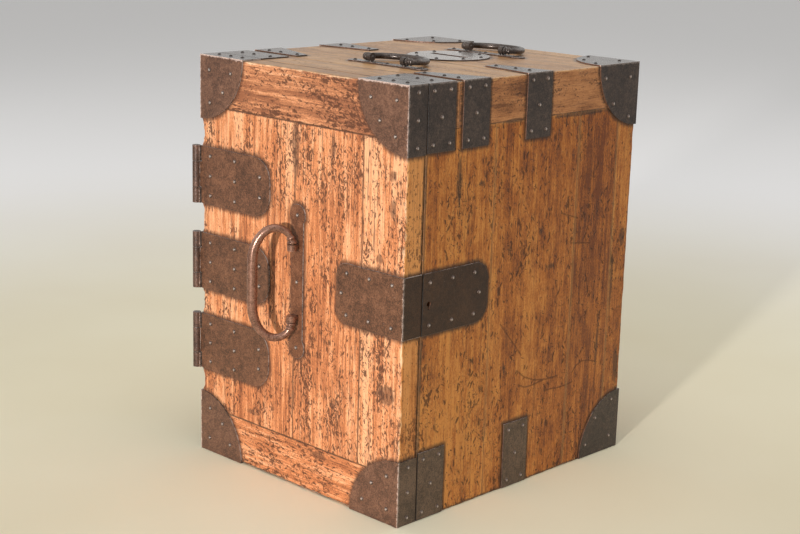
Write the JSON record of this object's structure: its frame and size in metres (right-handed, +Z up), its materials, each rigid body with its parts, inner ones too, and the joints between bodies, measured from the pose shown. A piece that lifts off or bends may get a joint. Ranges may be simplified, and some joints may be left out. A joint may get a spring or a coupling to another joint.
{
  "type": "wooden money box",
  "caption": "Iron-bound wooden money box with a hinged front door, a side lock, a bail handle on the door, carrying handles on top and a coin slot plate.",
  "frame": {"origin": "middle of the underside, on the surface that the box stands on", "axes": "+Z up, door towards -Y, lock side +X"},
  "size_m": [0.29, 0.3658, 0.4086],
  "materials": {
    "door_wood": "worn, open grain",
    "case_wood": "worn, oiled",
    "top_wood": "worn, dry",
    "plate_iron": "rust-browned sheet iron",
    "handle_iron": "worn forged iron",
    "lock_iron": "dull forged iron",
    "nail_iron": "rubbed dome heads"
  },
  "bodies": {
    "case": {"back_panel": "case_wood", "bottom_board": "case_wood", "case_nails": "nail_iron", "coin_slot_plate": "plate_iron", "hinge_high_side_leaf": "plate_iron", "hinge_low_side_leaf": "plate_iron", "hinge_middle_side_leaf": "plate_iron", "hinge_pins": "lock_iron", "left_front_strap": "plate_iron", "left_low_front_strap": "plate_iron", "left_low_second_strap": "plate_iron", "left_second_strap": "plate_iron", "left_side_front_board": "case_wood", "left_side_middle_board": "case_wood", "left_side_rear_board": "case_wood", "left_third_strap": "plate_iron", "lock_case": "lock_iron", "lock_side_plate": "plate_iron", "rear_corner_iron_bottom_left": "plate_iron", "rear_corner_iron_bottom_right": "plate_iron", "rear_corner_iron_top_left": "plate_iron", "rear_corner_iron_top_right": "plate_iron", "right_front_strap": "plate_iron", "right_low_front_strap": "plate_iron", "right_low_second_strap": "plate_iron", "right_second_strap": "plate_iron", "right_side_front_board": "case_wood", "right_side_middle_board": "case_wood", "right_side_rear_board": "case_wood", "right_third_strap": "plate_iron", "top_front_board": "top_wood", "top_front_handle_plate": "plate_iron", "top_handle_posts": "handle_iron", "top_middle_board": "top_wood", "top_rear_board": "top_wood", "top_rear_handle_plate": "plate_iron"},
    "door": {"door_bottom_rail": "door_wood", "door_corner_iron_bottom_left": "plate_iron", "door_corner_iron_bottom_right": "plate_iron", "door_corner_iron_top_left": "plate_iron", "door_corner_iron_top_right": "plate_iron", "door_left_board": "door_wood", "door_lock_plate": "plate_iron", "door_middle_board": "door_wood", "door_nails": "nail_iron", "door_right_board": "door_wood", "door_staple": "lock_iron", "door_top_rail": "door_wood", "front_handle_plate": "plate_iron", "front_handle_posts": "handle_iron", "hinge_high_door_leaf": "plate_iron", "hinge_low_door_leaf": "plate_iron", "hinge_middle_door_leaf": "plate_iron"},
    "front_bail": {"front_bail": "handle_iron"},
    "top_front_bail": {"top_front_bail": "handle_iron"},
    "top_rear_bail": {"top_rear_bail": "handle_iron"},
    "lock_bolt": {"lock_bolt": "lock_iron"}
  },
  "joints": [
    {"name": "door_swing", "type": "hinge", "parent": "case", "child": "door", "pos_m": [-0.1446, -0.1636, 0.197], "axis": [0, 0, -1], "range_deg": [0, 180]},
    {"name": "front_bail_swing", "type": "hinge", "parent": "door", "child": "front_bail", "pos_m": [0.0018, -0.169, 0.202], "axis": [0, 0, 1], "range_deg": [-50, 130]},
    {"name": "top_front_bail_swing", "type": "hinge", "parent": "case", "child": "top_front_bail", "pos_m": [0.018, -0.0667, 0.4046], "axis": [1, 0, 0], "range_deg": [0, 180]},
    {"name": "top_rear_bail_swing", "type": "hinge", "parent": "case", "child": "top_rear_bail", "pos_m": [0.0045, 0.0873, 0.4046], "axis": [1, 0, 0], "range_deg": [0, 180]},
    {"name": "lock_bolt_slide", "type": "slide", "parent": "case", "child": "lock_bolt", "axis": [0, 0, 1], "range_m": [0, 0.01]}
  ]
}
